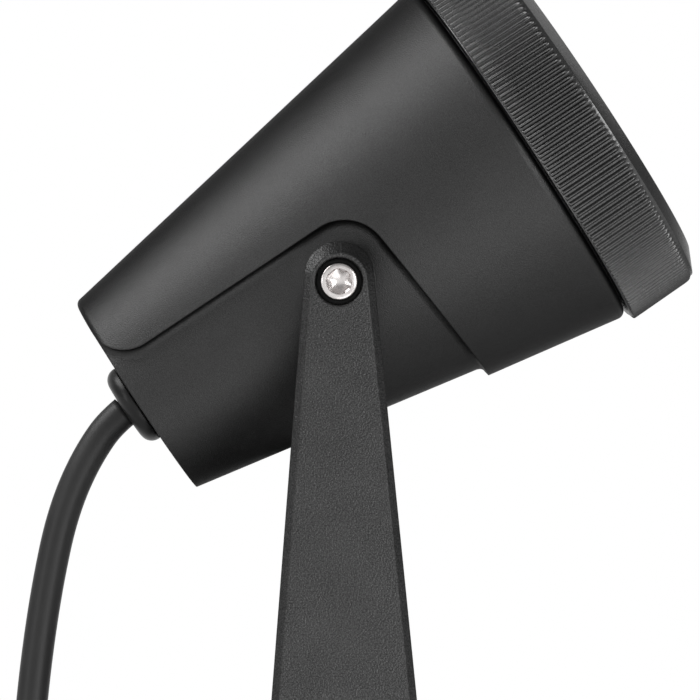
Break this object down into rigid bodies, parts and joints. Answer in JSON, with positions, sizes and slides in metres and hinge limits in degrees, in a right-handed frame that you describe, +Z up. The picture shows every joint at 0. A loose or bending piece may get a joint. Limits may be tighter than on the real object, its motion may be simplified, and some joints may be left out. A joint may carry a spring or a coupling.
{
  "type": "garden spike spotlight",
  "caption": "Outdoor spotlight: a conical black head with a ribbed front ring tilts in a U bracket on a finned ground spike, with a rubber cord and plug.",
  "frame": {"origin": "on the spike's axis at soil level, at the underside of the spike's collar", "axes": "+Z up along the spike, +X the way the head shines, level, +Y along the head's pivot"},
  "size_m": [0.1767, 0.1688, 0.368],
  "materials": {
    "head_paint": "die-cast aluminium, matt black powder coat",
    "ring_paint": "die-cast aluminium, satin black coat",
    "bracket_paint": "cast aluminium, fine-grained dark grey-black powder coat",
    "spike_plastic": "moulded black plastic",
    "toughened_glass": "clear toughened glass",
    "seal_rubber": "black sealing rubber",
    "baffle_paint": "spun aluminium, black inside",
    "lamp_white": "white lamp body",
    "lamp_lens": "frosted lens",
    "nickel": "nickel-plated",
    "holder_ceramic": "cream ceramic",
    "brass": "turned brass",
    "zinc_steel": "zinc-plated steel",
    "stainless": "bright stainless steel",
    "block_plastic": "natural white plastic",
    "wire_brown": "brown insulation",
    "wire_blue": "blue insulation",
    "wire_green_yellow": "green and yellow insulation",
    "gland_plastic": "black nylon",
    "washer_nylon": "black nylon washer",
    "cord_rubber": "smooth black rubber sheath",
    "tie_strap": "black strap",
    "plug_rubber": "moulded black rubber"
  },
  "bodies": {
    "spike": {"ground_spike": "spike_plastic", "spike_insert": "brass", "swivel_washer": "washer_nylon", "spike_bolt": "stainless", "bolt_washer": "stainless"},
    "yoke": {"yoke": "bracket_paint", "pivot_washers": "stainless", "cord_run": "cord_rubber", "cord_coil": "cord_rubber", "cord_tail": "cord_rubber", "cord_tie": "tie_strap", "plug_body": "plug_rubber", "plug_pins": "nickel", "plug_earth_clips": "nickel"},
    "head": {"head_shell": "head_paint", "ring_seal": "seal_rubber", "lamp_baffle": "baffle_paint", "lamp_housing": "lamp_white", "lamp_lens": "lamp_lens", "lamp_pins": "nickel", "lampholder": "holder_ceramic", "holder_contacts": "brass", "holder_screws": "zinc_steel", "bracket_screws": "zinc_steel", "holder_bracket": "zinc_steel", "terminal_block": "block_plastic", "terminal_screws": "brass", "block_screws": "zinc_steel", "live_core": "wire_brown", "neutral_core": "wire_blue", "earth_core": "wire_green_yellow", "live_lead": "wire_brown", "neutral_lead": "wire_blue", "earth_lead": "wire_green_yellow", "cord_inner_end": "cord_rubber", "gland_washer": "seal_rubber", "gland_cap": "gland_plastic", "gland_body": "gland_plastic", "gland_bush": "seal_rubber", "gland_locknut": "gland_plastic", "pivot_inserts": "brass", "friction_washers": "washer_nylon", "pivot_screws": "stainless", "cord_stub": "cord_rubber"},
    "glass_pack": {"front_glass": "toughened_glass", "glass_gasket": "seal_rubber"},
    "ring": {"front_ring": "ring_paint"}
  },
  "joints": [
    {"name": "yoke_pan", "type": "hinge", "parent": "spike", "child": "yoke", "pos_m": [0, 0, 0.013], "axis": [0, 0, 1], "range_deg": [-180, 180]},
    {"name": "head_tilt", "type": "hinge", "parent": "yoke", "child": "head", "pos_m": [0, 0, 0.119], "axis": [0, -1, 0], "range_deg": [-33.4, 56.6]},
    {"name": "ring_lift", "type": "slide", "parent": "head", "child": "glass_pack", "axis": [0.8348, 0, 0.5505], "range_m": [0, 0.01]},
    {"name": "ring_turn", "type": "hinge", "parent": "glass_pack", "child": "ring", "pos_m": [0.04994, 0, 0.15516], "axis": [0.8348, 0, 0.5505], "range_deg": [0, 1800]}
  ],
  "couplings": [
    {"joint": "ring_lift", "follows": "ring_turn", "m_per_rad": 0.000318}
  ]
}
